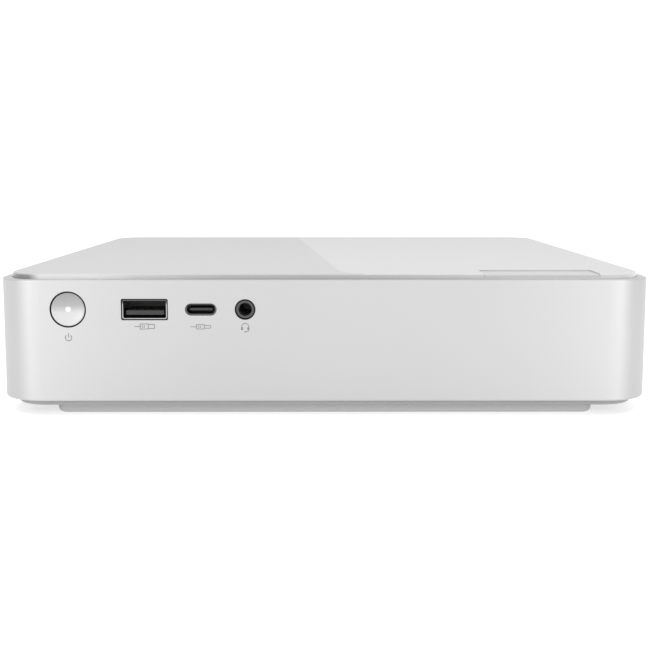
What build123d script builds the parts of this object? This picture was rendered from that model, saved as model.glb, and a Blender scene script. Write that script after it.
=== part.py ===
from build123d import *
import math
import os

# One-litre desktop computer. A silver band carries a raised top panel and a recessed bottom cover.
# The main board hangs upside down below a steel mid plate, with its ports, memory and cooling under
# it, and a mains supply stands beside it. Millimetres. +Z is up and the front face looks along -Y.
# The origin is the centre of the footprint, on the surface that the two rubber feet stand on.

# ---------------------------------------------------------------- driving dimensions
# Outer form
width = 195.0
depth = 191.0
corner_radius = 14.0
foot_height = 2.5         # feet below the bottom cover
step_height = 2.0         # bottom cover below the band
band_height = 36.0
panel_raise = 1.6         # top panel above the band's rim
edge_round = 0.5

# Band
wall = 2.2
top_ledge_drop = 2.5      # rim down to the ledge that carries the top panel and the mid plate
top_ledge_thickness = 1.2
top_ledge_inset = 9.0
bottom_ledge_lift = 0.5   # band's lower edge up to the ledge that the bottom cover seats on
bottom_ledge_thickness = 1.5
bottom_ledge_inset = 8.0
cover_boss_inset = 10.0   # centre of each bottom cover screw, from both outer faces
cover_boss_radius = 3.5
cover_boss_height = 9.0

# Top panel
panel_inset = 3.0
panel_gap = 0.15          # seam between the panel and the rim
panel_thickness = 1.6
panel_skirt = 1.6
panel_chamfer = 0.35
panel_boss_radius = 2.4
panel_boss_depth = 0.9    # pilot hole into the panel beyond the boss
badge_length = 34.0
badge_depth = 12.0
badge_thickness = 0.4
badge_sink = 0.35         # badge's flat leaf below the panel's face
badge_lip = 1.1           # badge folded down over the panel's front edge
badge_right = 16.5        # badge's right end, from the band's right face
badge_seam = 0.1

# Bottom cover, its vents and the feet
cover_inset = 3.85
cover_floor = 1.5
cover_rim = 1.8
cover_round = 0.6
cover_pad_radius = 4.2
screw_head_recess = 1.7
vent_width = 2.0
vent_pitch = 4.0
vent_rib = 3.0            # bridge across the middle of each row of slots
foot_length = 161.0
foot_depth = 9.0
foot_inset = 4.5          # front of the front foot, from the band's front face
foot_plan_radius = 3.2
foot_round = 1.5
foot_recess = 0.5

# Fits
slip = 0.05               # shank in its hole, pipe in its groove, plunger in its bore
seat_gap = 0.3            # free gap beside a piece that only has to clear its neighbour

# Mid plate and main board
mid_plate_thickness = 0.8
mid_plate_gap = 0.3       # mid plate to the top panel's skirt
board_thickness = 1.6
board_left_margin = 9.7
board_end_gap = 0.4       # board to the inner faces of the front and rear
board_corner = 10.0
standoff_radius = 2.75

# Power button
button_from_left = 22.3   # axis, from the band's left face
button_radius = 4.92
button_gap = 0.43         # all round the disc in its hole
button_dish = 0.45        # depth of the hollow face
button_thickness = 1.2
button_travel = 0.6
button_flange_step = 1.15 # flange beyond the disc
button_flange = 0.8
light_pipe_radius = 0.8
actuator_inset = 0.85     # post that pushes the switch, from the disc's edge to the post's axis
actuator_radius = 1.3
plunger_radius = 1.1
plunger_depth = 1.6       # plunger inside the switch

# Ports. Their axes lie port_drop below the band's rim.
port_drop = 8.65
port_recess = 0.3         # mouths behind the outer face
usb_a_width = 13.14
usb_a_height = 5.72
usb_a_length = 14.0
usb_a_tongue = (-1.70, -0.42)  # its lower and upper face, from the port's axis
usb_c_width = 8.94
usb_c_height = 3.26
usb_c_length = 9.0
shell_sheet = 0.3
usb_a_from_left = 44.7
usb_c_from_left = 61.2
jack_from_left = 74.15
port_gap = 0.3            # cut-out beyond a port's shell, all round
jack_nose_radius = 2.6
jack_hole_radius = 3.05
jack_bore_radius = 1.8
jack_mouth_radius = 1.95
jack_body_width = 6.6
jack_body_length = 12.5
jack_bore_length = 12.0

# Rear plate
window_margin = 20.0      # window's ends, from the band's side faces
window_top = 1.8          # window's upper and lower edges inside the plate's
plate_thickness = 1.0
hdmi_size = (15.0, 5.6)
display_size = (17.0, 5.6)
ethernet_width = 16.0
ethernet_height = 13.4
ethernet_length = 16.0
exhaust_slot_width = 2.0
exhaust_slot_pitch = 3.5
inlet_opening = (24.4, 16.6)
inlet_body = (27.0, 19.6)
inlet_flange = (31.0, 23.0)
inlet_depth = 17.0
inlet_lead_radius = 1.2
inlet_lead_pitch = 3.6
inlet_pin = (2.0, 4.0, 12.5)
inlet_pin_spread = 7.0    # live and neutral, each side of the middle
inlet_pin_rise = 2.0      # earth above the middle, live and neutral below it

# Cooling
blower_size = 55.0
blower_height = 12.0
blower_wall = 1.2
blower_lift = 2.5         # blower above the bottom cover's floor
blower_inlet_radius = 18.0
blower_front_radius = 18.0
rotor_hub_radius = 11.5
rotor_gap = 2.3           # rotor to the blower's inner walls
rotor_blades = 23
rotor_blade_thickness = 0.8
spindle_radius = 1.0
motor_radius = 5.5
pipe_radius = 3.0
pipe_bend = 7.0
pipe_turn = 8.0
fin_pitch = 2.0
fin_thickness = 0.4
fin_depth = 14.0
fin_height = 12.0
blower_gap = 18.0         # channel between the blowers, for the heat pipes
blower_lead_offset = 7.0  # lead to the right of the blower's middle
front_leg_reach = 36.5    # each blower's front leg from the channel's middle, clear of the chokes
leg_radius = 2.4
choke_width = 6.4
cpu_size = (45.0, 25.0, 1.2)
cpu_die = (14.0, 10.0, 0.5)
cold_plate_size = (46.0, 38.0, 5.0)

# Memory, storage and radio
dimm_length = 67.6
dimm_depth = 30.0
dimm_thickness = 1.2
dimm_socket_height = 4.0
dimm_pitch = 36.0
card_width = 22.0
ssd_length = 80.0
radio_length = 30.0
card_board = 0.8
card_socket_height = 3.2
coin_cell_radius = 10.0
coin_cell_height = 3.2

# Mains supply
supply_width = 42.0
supply_length = 116.0
supply_sheet = 1.0
supply_lift = 5.0         # case above the bottom cover's floor
supply_side_margin = 9.3
cable_radius = 2.4
lead_radius = 0.6

# Screws: shank radius, head radius, head height
m3 = (1.45, 2.75, 1.5)
m2 = (1.0, 1.9, 1.0)

# ---------------------------------------------------------------- heights and places
floor_z = foot_height
band_bottom = floor_z + step_height
band_top = band_bottom + band_height
panel_top = band_top + panel_raise
ledge_top = band_top - top_ledge_drop
ledge_bottom = ledge_top - top_ledge_thickness
cover_seat = band_bottom + bottom_ledge_lift
cover_top = floor_z + cover_floor
mid_plate_top = ledge_top + mid_plate_thickness
port_z = band_top - port_drop
board_bottom = port_z + usb_a_height / 2
board_top = board_bottom + board_thickness
button_z = port_z
ethernet_z = board_bottom - ethernet_height / 2

button_hole_radius = button_radius + button_gap
button_flange_radius = button_radius + button_flange_step
rotor_radius = blower_size / 2 - blower_wall - rotor_gap
fin_length = blower_size - 13.0

left, right = -width / 2, width / 2
front, rear = -depth / 2, depth / 2
front_inner, rear_inner = front + wall, rear - wall
mouth = front + port_recess
rear_mouth = rear_inner + 0.6

button_x = left + button_from_left
actuator_x = button_x + button_radius - actuator_inset
usb_a_x = left + usb_a_from_left
usb_c_x = left + usb_c_from_left
jack_x = left + jack_from_left
hole_xs = (button_x, usb_a_x, usb_c_x, jack_x)

supply_right = right - supply_side_margin
supply_left = supply_right - supply_width
board_left = left + board_left_margin
board_right = supply_left - 2.0
board_front = front_inner + board_end_gap
plate_front = rear_inner - plate_thickness
board_rear = plate_front - board_end_gap
riser_start = board_front - mouth     # a port's sleeve to the part of it under the board

# Behind the button: the post's tip, the switch's front face, and the lamp over the light pipe
actuator_tip = front_inner + 2.4
switch_front = actuator_tip + 0.9
lamp_y = front_inner + 2.6
lamp_bottom = board_bottom - 0.6

cover_screw_spots = [
    (sx * (width / 2 - cover_boss_inset), sy * (depth / 2 - cover_boss_inset))
    for sx in (-1, 1)
    for sy in (-1, 1)
]
panel_screw_inset = 6.8
panel_screw_spots = [
    (sx * (width / 2 - panel_screw_inset), share * depth)
    for sx in (-1, 1)
    for share in (-0.29, 0.0, 0.29)
]

# The blowers stand side by side at the rear, each with its fins between it and the rear plate.
blower_bottom = cover_top + blower_lift
blower_top = blower_bottom + blower_height
fin_rear = rear_inner - 8.0
fin_front = fin_rear - fin_depth
blower_y = fin_front - 2.0 - blower_size / 2
blower_header_y = blower_y - blower_size / 2 - 5.5
channel_x = board_left + 3.0 + blower_size + blower_gap / 2
blower_spots = {
    "left": channel_x - blower_gap / 2 - blower_size / 2,
    "right": channel_x + blower_gap / 2 + blower_size / 2,
}
pipe_low_z = blower_bottom + blower_height / 2
cpu_x, cpu_y = channel_x, blower_y - blower_size / 2 + 15.5
cpu_bottom = board_bottom - cpu_size[2] - cpu_die[2]
pipe_high_z = cpu_bottom - cold_plate_size[2]

dimm_y = board_front + 51.5
ssd_x, ssd_y = board_left + 12.0, board_front + 95.0
radio_x, radio_y = ssd_x + 29.0, board_front + 68.0
dimm_x = radio_x + 18.0
coin_x, coin_y = board_right - 12.7, blower_y - 14.8
power_x, power_y = board_right - 7.0, blower_y - 39.8

supply_rear = plate_front - 25.0
supply_front = supply_rear - supply_length
supply_bottom = cover_top + supply_lift
supply_x = (supply_left + supply_right) / 2
inlet_x = right - window_margin - inlet_flange[0] / 2 - 1.8
inlet_z = (cover_seat + bottom_ledge_thickness + ledge_bottom) / 2
supply_board_bottom = supply_bottom + supply_sheet + 3.0
supply_cable_z = board_bottom - 17.0
rear_screw_xs = (left + 17.4, right - 17.4)

board_screw_spots = [
    (board_left + 5.5, board_front + 16.0),
    (board_left + 5.5, blower_y),
    (board_right - 5.0, board_front + 16.0),
    (board_right - 5.0, blower_y),
    (radio_x - 15.0, dimm_y + 8.0),
    (board_right - 5.0, dimm_y),
]
rear_ports = {          # centre of each port on the rear plate
    "usb_c": board_left + 18.0,
    "hdmi": board_left + 33.0,
    "display": board_left + 53.0,
    "usb_a": [board_left + 72.0, board_left + 88.0, board_left + 104.0],
    "ethernet": board_left + 122.0,
}


# ---------------------------------------------------------------- shapes used throughout
def slab(inset, bottom, top):
    """The outer outline taken in by inset, between two heights."""
    outline = RectangleRounded(width - 2 * inset, depth - 2 * inset, corner_radius - inset)
    return Pos(0, 0, bottom) * extrude(outline, top - bottom)


def block(x, y, z):
    """A box between the two ends given on each axis."""
    middle = Pos(sum(x) / 2, sum(y) / 2, sum(z) / 2)
    return middle * Box(x[1] - x[0], y[1] - y[0], z[1] - z[0])


def span(centre, size):
    """The two ends of a size about its centre."""
    return (centre - size / 2, centre + size / 2)


def post(x, y, radius, bottom, top):
    """An upright cylinder."""
    return Pos(x, y, bottom) * extrude(Circle(radius), top - bottom)


def along_y(sketch, x, z, near, far):
    """A sketch, drawn as seen from the front, run from y = near to y = far."""
    return Pos(x, far, z) * Rot(90, 0, 0) * extrude(sketch, far - near)


def along_x(sketch, y, z, near, far):
    """A sketch run from x = near to x = far."""
    return Pos(near, y, z) * Rot(0, 90, 0) * extrude(sketch, far - near)


def cut_all(body, tools):
    """The body less every tool."""
    for tool in tools:
        body -= tool
    return body


def join_all(body, pieces):
    """The body with every piece added."""
    for piece in pieces:
        body += piece
    return body


def screw(x, y, head_face, tip, size):
    """A pan-head screw whose head bears on head_face, with its tip at tip, above or below it."""
    shank, head, head_height = size
    up = tip > head_face
    head_ends = (head_face - head_height, head_face) if up else (head_face, head_face + head_height)
    body = post(x, y, head, *head_ends)
    body += post(x, y, shank, min(head_face, tip), max(head_face, tip))
    crown = body.edges().group_by(Axis.Z)[0 if up else -1]
    body = fillet(crown, head_height * 0.3)
    drive_depth = head_height * 0.6
    bit = extrude(RegularPolygon(head * 0.5, 6), drive_depth)
    drive_base = head_ends[0] if up else head_ends[1] - drive_depth
    return body - Pos(x, y, drive_base) * bit


def tube(points, radius, bends):
    """A round lead or pipe along straight runs joined by arcs."""
    path = FilletPolyline(*points, radius=bends)
    return sweep(path.location_at(0) * Circle(radius), path)


def turned_to_rear(part, x):
    """A port modelled at x = 0 with its mouth at y = 0, placed with its mouth on the rear plate."""
    return Pos(x, rear_mouth, port_z) * Rot(0, 0, 180) * part


def at_front(part, x):
    """A port modelled at x = 0 with its mouth at y = 0, placed in the front face."""
    return Pos(x, mouth, port_z) * part


# ---------------------------------------------------------------- enclosure
def side_frame():
    """The band: a closed wall with a ledge inside each edge, port holes and a rear window."""
    band = slab(0, band_bottom, band_top)
    rims = band.edges().group_by(Axis.Z)
    band = fillet(rims[0] + rims[-1], edge_round)
    band -= slab(wall, band_bottom - 1, ledge_bottom)
    band -= slab(top_ledge_inset, ledge_bottom - 1, ledge_top + 1)
    band -= slab(panel_inset - panel_gap, ledge_top, band_top + 1)
    lower_ledge = slab(wall, cover_seat, cover_seat + bottom_ledge_thickness)
    lower_ledge -= slab(bottom_ledge_inset, cover_seat - 1, cover_seat + bottom_ledge_thickness + 1)
    band += lower_ledge
    boss_top = cover_seat + cover_boss_height
    bosses = [post(x, y, cover_boss_radius, cover_seat, boss_top) for x, y in cover_screw_spots]
    band = join_all(band, bosses)
    pilots = [post(x, y, m3[0] + slip, cover_seat - 1, boss_top - 1) for x, y in cover_screw_spots]
    pilots += [post(x, y, m2[0] + slip, ledge_bottom - 1, ledge_top + 1) for x, y in panel_screw_spots]
    band = cut_all(band, pilots)
    rear_pilots = [
        along_y(Circle(m2[0] + slip), x, inlet_z, rear_inner - 1, rear - 0.5) for x in rear_screw_xs
    ]
    band = cut_all(band, [rear_window()] + rear_pilots)
    return split_port_wall(band)


def split_port_wall(band):
    """The band, and the stretch of its front wall with the holes as one flush plate for each hole.

    The plates meet the band and each other face to face, so that each can have its own open hole.
    """
    ends = [left + corner_radius]
    ends += [(a + b) / 2 for a, b in zip(hole_xs[:-1], hole_xs[1:])]
    ends.append(jack_x + 2 * jack_hole_radius)
    heights = (port_z - 1.5 * button_hole_radius, ledge_top)
    stretch = block((ends[0], ends[-1]), (front - 1, front_inner), heights)
    wall_depth = (front, front_inner)
    plates = [block(pair, wall_depth, heights) for pair in zip(ends[:-1], ends[1:])]
    return [band - stretch] + [plate - hole for plate, hole in zip(plates, front_holes())]


def front_holes():
    """Tools that cut the button hole and the three port holes through the front wall, left to right."""
    ends = (front - 1, front_inner + 0.01)
    usb_a = Rectangle(usb_a_width + 2 * port_gap, usb_a_height + 2 * port_gap)
    usb_a = fillet(usb_a.vertices(), 0.5)
    usb_c_gap = port_gap / 2
    usb_c = SlotOverall(usb_c_width + 2 * usb_c_gap, usb_c_height + 2 * usb_c_gap)
    return [
        along_y(Circle(button_hole_radius), button_x, button_z, *ends),
        along_y(usb_a, usb_a_x, port_z, *ends),
        along_y(usb_c, usb_c_x, port_z, *ends),
        along_y(Circle(jack_hole_radius), jack_x, port_z, *ends),
    ]


def plate_ends():
    """Lower and upper edge of the rear plate, between the band's two ledges."""
    return (cover_seat + bottom_ledge_thickness + 0.1, ledge_bottom - 0.1)


def rear_window():
    """Tool that opens the rear wall over the rear plate."""
    low, high = plate_ends()
    window = RectangleRounded(width - 2 * window_margin, high - low - 2 * window_top, 2.5)
    return along_y(window, 0, (low + high) / 2, rear_inner - 0.01, rear + 1)


def badge_box(seam, top):
    """Outer box of the badge up to a given top, grown by a seam at its ends and back."""
    x_right = right - badge_right
    panel_front = front + panel_inset
    return block(
        (x_right - badge_length - seam, x_right + seam),
        (panel_front, panel_front + badge_depth + seam),
        (panel_top - badge_lip, top),
    )


def badge_step():
    """The part of that box under the badge's flat leaf, which the panel fills."""
    panel_front = front + panel_inset
    return block(
        (left, right),
        (panel_front + badge_thickness, panel_front + badge_depth + 1),
        (panel_top - badge_lip - 1, panel_top - badge_sink - badge_thickness),
    )


def top_cover():
    """The raised panel: a shallow lid whose skirt stands on the band's upper ledge."""
    lid = slab(panel_inset, ledge_top, panel_top)
    lid = chamfer(lid.edges().group_by(Axis.Z)[-1], panel_chamfer)
    lid -= slab(panel_inset + panel_skirt, ledge_top - 1, panel_top - panel_thickness)
    underside = panel_top - panel_thickness
    lid = join_all(
        lid, [post(x, y, panel_boss_radius, mid_plate_top, underside) for x, y in panel_screw_spots]
    )
    pilots = [
        post(x, y, m2[0] + slip, mid_plate_top - 1, underside + panel_boss_depth)
        for x, y in panel_screw_spots
    ]
    lid = cut_all(lid, pilots)
    return lid - (badge_box(badge_seam, panel_top + 1) - badge_step())


def top_cover_badge():
    """A blank tag set into the panel and folded over its front edge."""
    tag = badge_box(0, panel_top - badge_sink) - badge_step()
    front_top = tag.edges().filter_by(Axis.X).sort_by(lambda e: e.center().Z - e.center().Y)[-1]
    return chamfer(front_top, panel_chamfer)


def mid_plate():
    """Steel plate on the upper ledge that carries the board and closes the case's top."""
    plate = slab(panel_inset + panel_skirt + mid_plate_gap, ledge_top, mid_plate_top)
    spots = panel_screw_spots + supply_screw_spots()
    holes = [post(x, y, m2[0] + slip, ledge_top - 1, mid_plate_top + 1) for x, y in spots]
    lightening = RectangleRounded(24, 9, 3)
    for column in (-1.5, -0.5, 0.5, 1.5):
        for row in (-1, 0, 1):
            spot = Pos(column * width * 0.2, row * depth * 0.2 + 6, ledge_top - 1)
            holes.append(spot * extrude(lightening, mid_plate_thickness + 2))
    return cut_all(plate, holes)


def vent_slots(x, y, reach):
    """Rows of slots inside a circle, each row split by a rib down the middle."""
    slots = []
    rows = int(reach // vent_pitch)
    for row in range(-rows, rows + 1):
        offset = row * vent_pitch
        half = math.sqrt(reach**2 - offset**2)
        length = half - vent_rib / 2
        if length < 2 * vent_width:
            continue
        for side in (-1, 1):
            centre = side * (vent_rib / 2 + length / 2)
            slot = extrude(SlotOverall(length, vent_width), cover_floor + 2)
            slots.append(Pos(x + centre, y + offset, floor_z - 1) * slot)
    return slots


def front_vent_slots():
    """A band of slots under the memory and the storage."""
    slots = []
    for column in range(-8, 9):
        slot = extrude(SlotOverall(20, vent_width, rotation=90), cover_floor + 2)
        slots.append(Pos(column * vent_pitch * 1.75, front + 42.0, floor_z - 1) * slot)
    return slots


def foot_spots():
    """Centre line of each foot, front and rear."""
    y = depth / 2 - foot_inset - foot_depth / 2
    return (-y, y)


def bottom_cover():
    """Recessed pan under the band, with vents, screw pads and pockets for the feet."""
    pan = slab(cover_inset, floor_z, cover_seat)
    pan = fillet(pan.edges().group_by(Axis.Z)[0], cover_round)
    pan -= slab(cover_inset + cover_rim, cover_top, cover_seat + 1)
    pan = join_all(
        pan, [post(x, y, cover_pad_radius, floor_z + 0.8, cover_seat) for x, y in cover_screw_spots]
    )
    cuts = []
    for x, y in cover_screw_spots:
        cuts.append(post(x, y, m3[0] + slip, floor_z - 1, cover_seat + 1))
        cuts.append(post(x, y, m3[1] + seat_gap, floor_z - 1, floor_z + screw_head_recess))
    for y in foot_spots():
        pocket = RectangleRounded(foot_length, foot_depth, foot_plan_radius)
        cuts.append(Pos(0, y, floor_z - 1) * extrude(pocket, 1 + foot_recess))
    for x in blower_spots.values():
        cuts += vent_slots(x, blower_y, blower_inlet_radius + 2)
    return cut_all(pan, cuts + front_vent_slots())


def foot(y):
    """A rubber strip with soft lower edges."""
    strip = extrude(RectangleRounded(foot_length, foot_depth, foot_plan_radius), floor_z + foot_recess)
    strip = fillet(strip.edges().group_by(Axis.Z)[0], foot_round)
    return Pos(0, y, 0) * strip


def rear_plate():
    """Steel plate behind the rear window, with a cut-out for each port and the exhaust slots."""
    low, high = plate_ends()
    plate = block((left + corner_radius, right - corner_radius), (plate_front, rear_inner), (low, high))
    ends = (plate_front - 1, rear_inner + 1)
    cuts = []
    sizes = {
        "usb_c": (usb_c_width, usb_c_height),
        "hdmi": hdmi_size,
        "display": display_size,
    }
    for name, (w, h) in sizes.items():
        hole = Rectangle(w + 2 * port_gap, h + 2 * port_gap)
        cuts.append(along_y(hole, rear_ports[name], port_z, *ends))
    for x in rear_ports["usb_a"]:
        hole = Rectangle(usb_a_width + 2 * port_gap, usb_a_height + 2 * port_gap)
        cuts.append(along_y(hole, x, port_z, *ends))
    net_hole = Rectangle(ethernet_width + 2 * port_gap, ethernet_height + 2 * port_gap)
    cuts.append(along_y(net_hole, rear_ports["ethernet"], ethernet_z, *ends))
    inlet_hole = Rectangle(inlet_body[0] + 2 * slip, inlet_body[1] + 2 * slip)
    cuts.append(along_y(inlet_hole, inlet_x, inlet_z, *ends))
    slot = SlotOverall(fin_height - 2, exhaust_slot_width, rotation=90)
    for x in exhaust_columns():
        cuts.append(along_y(slot, x, pipe_low_z, *ends))
    lock_slot = RectangleRounded(7.0, 3.0, 0.9)
    cuts.append(along_y(lock_slot, channel_x, pipe_low_z, *ends))
    for x in rear_screw_xs:
        cuts.append(along_y(Circle(m2[0] + slip), x, inlet_z, *ends))
    return cut_all(plate, cuts)


def rear_plate_screws():
    """Screws from inside that hold the rear plate's ends to the band."""
    fastener = Rot(-90, 0, 0) * screw(0, 0, 0, plate_thickness + wall - 0.6, m2)
    return [Pos(x, plate_front, inlet_z) * fastener for x in rear_screw_xs]


def exhaust_columns():
    """Centres of the exhaust slots, over the two sets of fins."""
    columns = []
    for x in fin_spots().values():
        count = int(fin_length // exhaust_slot_pitch)
        columns += [x + (i - (count - 1) / 2) * exhaust_slot_pitch for i in range(count)]
    return columns


# ---------------------------------------------------------------- power button
def power_button():
    """Metal disc with a hollow face, and a hole in its middle for the light pipe."""
    disc = along_y(Circle(button_radius), button_x, button_z, front, front + button_thickness)
    disc = chamfer(disc.edges().group_by(Axis.Y)[0], 0.15)
    dish_radius = ((button_radius - 0.4) ** 2 + button_dish**2) / (2 * button_dish)
    disc -= Pos(button_x, front + button_dish - dish_radius, button_z) * Sphere(dish_radius)
    hole = Circle(light_pipe_radius)
    return disc - along_y(hole, button_x, button_z, front - 1, front + button_thickness + 1)


def button_rear():
    """Face that the button's flange ends at."""
    return front_inner + 0.1 + button_flange


def button_carrier():
    """Black flange behind the disc, with the post that pushes the switch."""
    flange_front = front_inner + 0.1
    disc_back = front + button_thickness
    carrier = along_y(Circle(button_radius + 0.1), button_x, button_z, disc_back, flange_front)
    carrier += along_y(Circle(button_flange_radius), button_x, button_z, flange_front, button_rear())
    carrier += along_y(Circle(actuator_radius), actuator_x, button_z, flange_front, actuator_tip)
    hole = Circle(light_pipe_radius)
    carrier -= along_y(hole, button_x, button_z, front, button_rear() + 1)
    return carrier - above_flange()


def above_flange():
    """The room at the board's front edge that the button's rear parts keep out of, pressed or not."""
    near = front_inner - button_travel - 0.1
    return block((left, right), (near, front + 20), (board_bottom - seat_gap, panel_top))


def button_light_pipe():
    """Clear rod through the button's middle that turns up towards the indicator lamp."""
    rod_end = lamp_y + light_pipe_radius
    rod = along_y(Circle(light_pipe_radius), button_x, button_z, front + button_dish, rod_end)
    return rod + post(button_x, lamp_y, light_pipe_radius, button_z, lamp_bottom - seat_gap)


def button_guide():
    """Black sleeve on the inside of the front wall that the button's flange slides in."""
    outer = Circle(button_flange_radius + 1.4)
    inner = Circle(button_flange_radius + 0.15)
    sleeve = along_y(outer - inner, button_x, button_z, front_inner, button_rear() + button_travel)
    return (sleeve - above_flange()) & slab(wall, cover_seat, ledge_bottom)


def indicator_lamp():
    """Surface-mounted lamp on the board over the light pipe's end."""
    return block(span(button_x, 1.6), span(lamp_y, 1.8), (lamp_bottom, board_bottom))


def switch_body():
    """Side-push switch that hangs from the board."""
    y = (switch_front, switch_front + 4.0)
    shell = block(span(actuator_x, 5.0), y, (button_z - 2.6, board_bottom))
    bore_end = switch_front + plunger_depth + button_travel + 0.3
    return shell - along_y(Circle(plunger_radius + slip), actuator_x, button_z, y[0] - 1, bore_end)


def switch_plunger():
    """The plunger that the button pushes."""
    ends = (actuator_tip + slip, switch_front + plunger_depth)
    return along_y(Circle(plunger_radius), actuator_x, button_z, *ends)


# ---------------------------------------------------------------- ports, each with its mouth at y = 0
def usb_a_shell():
    """Sheet-metal sleeve of a full-size socket."""
    outer = RectangleRounded(usb_a_width, usb_a_height, 0.6)
    inner = RectangleRounded(usb_a_width - 2 * shell_sheet, usb_a_height - 2 * shell_sheet, 0.35)
    return along_y(outer - inner, 0, 0, 0, usb_a_length)


def usb_a_insert():
    """Insulator at the back of the socket, with the tongue low in the mouth."""
    inner_w, inner_h = usb_a_width - 2 * shell_sheet, usb_a_height - 2 * shell_sheet
    back = along_y(RectangleRounded(inner_w, inner_h, 0.35), 0, 0, usb_a_length - 4.0, usb_a_length)
    tongue = block(span(0, 11.1), (1.0, usb_a_length - 3.9), usb_a_tongue)
    return back + tongue


def usb_a_contacts():
    """Four long strips on top of the tongue, with five short ones between them and further in."""
    z = (usb_a_tongue[1], usb_a_tongue[1] + 0.12)
    long_strips = [block(span((i - 1.5) * 2.3, 1.0), (2.4, usb_a_length - 4.0), z) for i in range(4)]
    short_strips = [block(span((i - 2) * 2.3, 0.6), (6.0, usb_a_length - 4.0), z) for i in range(5)]
    return long_strips + short_strips


def usb_c_shell():
    """Oval sleeve with a riser up to the board."""
    outer = SlotOverall(usb_c_width, usb_c_height)
    inner = SlotOverall(usb_c_width - 2 * shell_sheet, usb_c_height - 2 * shell_sheet)
    sleeve = along_y(outer, 0, 0, 0, usb_c_length)
    sleeve += block(
        span(0, usb_c_width - 3.4), (riser_start, usb_c_length), (0, board_bottom - port_z)
    )
    return sleeve - along_y(inner, 0, 0, -1, usb_c_length + 1)


def usb_c_insert():
    """Insulator at the back of the oval socket, with a thin tongue on its middle plane."""
    inner = SlotOverall(usb_c_width - 2 * shell_sheet, usb_c_height - 2 * shell_sheet)
    back = along_y(inner, 0, 0, usb_c_length - 3.0, usb_c_length)
    return back + block(span(0, 6.65), (0.8, usb_c_length - 2.9), span(0, 0.7))


def audio_jack():
    """Socket body under the board, with a round nose in the front wall and a straight bore."""
    nose = along_y(Circle(jack_nose_radius), 0, 0, 0, riser_start)
    drop = board_bottom - port_z
    body = block(span(0, jack_body_width), (riser_start, riser_start + jack_body_length), (-drop, drop))
    jack = nose + body
    taper = Cone(jack_bore_radius, jack_mouth_radius, riser_start)
    lead_in = Pos(0, riser_start / 2, 0) * Rot(90, 0, 0) * taper
    bore = along_y(Circle(jack_bore_radius), 0, 0, riser_start, riser_start + jack_bore_length)
    return jack - lead_in - bore


def hooded_port(size, chamfers, tongue, length=12.0):
    """A flat display socket: its sleeve, cut off at two lower corners, and its tongue with the back."""
    w, h = size
    drop = board_bottom - port_z

    def outline(inset):
        half_w, half_h = w / 2 - inset, h / 2 - inset
        cut_l, cut_r = (max(c - inset * 0.6, 0.05) for c in chamfers)
        return Polygon(
            (-half_w, half_h),
            (-half_w, -half_h + cut_l),
            (-half_w + cut_l, -half_h),
            (half_w - cut_r, -half_h),
            (half_w, -half_h + cut_r),
            (half_w, half_h),
            align=None,
        )

    sleeve = along_y(outline(0), 0, 0, 0, length)
    sleeve += block(span(0, w - 2.0), (riser_start, length), (0, drop))
    sleeve -= along_y(outline(0.4), 0, 0, -1, length - 2.0)
    insert = along_y(outline(0.4), 0, 0, length - 5.0, length - 2.0)
    insert += block(span(0, tongue[0]), (1.0, length - 4.9), span(tongue[2], tongue[1]))
    return sleeve, insert


def ethernet_jack():
    """Shielded network socket with its clip notch downwards, and its contact comb."""
    w, h, length = ethernet_width, ethernet_height, ethernet_length
    middle = ethernet_z - port_z
    body = block(span(0, w), (0, length), span(middle, h))
    cavity_h = 7.0
    cavity_top = middle + h / 2 - 2.2
    body -= block(span(0, 11.8), (-1, 13.0), (cavity_top - cavity_h, cavity_top))
    body -= block(span(0, 6.2), (-1, 9.0), (cavity_top - cavity_h - 1.6, cavity_top - cavity_h + 1))
    body -= block(span(0, 3.4), (-1, 9.0), (cavity_top - cavity_h - 2.8, cavity_top - cavity_h + 1))
    comb = []
    for i in range(8):
        x = (i - 3.5) * 1.02
        comb.append(block(span(x, 0.4), (3.0, 13.0), (cavity_top - 0.7, cavity_top)))
    return body, comb


def mains_inlet():
    """Three-pin inlet: a flange outside the rear plate, a deep recess, and blades in it."""
    w, h = inlet_body
    mouth_y = rear_inner + 1.6
    body = along_y(RectangleRounded(*inlet_flange, 2.0), inlet_x, inlet_z, rear_inner, mouth_y)
    body += along_y(Rectangle(w, h), inlet_x, inlet_z, mouth_y - inlet_depth - 3.0, rear_inner)
    cw, ch = inlet_opening[0] / 2, inlet_opening[1] / 2
    cut = 4.0
    recess = Polygon(
        (-cw, -ch), (cw, -ch), (cw, ch - cut), (cw - cut, ch), (-cw + cut, ch), (-cw, ch - cut), align=None
    )
    back = mouth_y - inlet_depth
    body -= along_y(recess, inlet_x, inlet_z, back, mouth_y + 1)
    thickness, blade_height, length = inlet_pin
    pins = []
    for side in (-1, 1, 0):
        x = inlet_x + side * inlet_pin_spread
        z = inlet_z + (-inlet_pin_rise if side else inlet_pin_rise)
        blade = block(span(x, thickness), (back, back + length), span(z, blade_height))
        pins.append(chamfer(blade.edges().group_by(Axis.Y)[-1], 0.4))
    return body, pins


# ---------------------------------------------------------------- board and what hangs from it
def motherboard():
    """The board, with a round at each corner that meets the band, and its screw holes."""
    outline = Rectangle(board_right - board_left, board_rear - board_front)
    corners = outline.vertices().sort_by(Axis.X)[:2]
    outline = fillet(corners, board_corner)
    centre = Pos((board_left + board_right) / 2, (board_front + board_rear) / 2, board_bottom)
    board = centre * extrude(outline, board_thickness)
    spots = board_screw_spots + cold_plate_spots() + blower_leg_spots()
    return cut_all(board, [post(x, y, m2[0] + slip, board_bottom - 1, board_top + 1) for x, y in spots])


def board_standoffs():
    """Short pillars from the mid plate down to the board."""
    return [
        post(x, y, standoff_radius, board_top, ledge_top)
        - post(x, y, m2[0] + slip, board_top - 1, ledge_top - 0.3)
        for x, y in board_screw_spots
    ]


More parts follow.
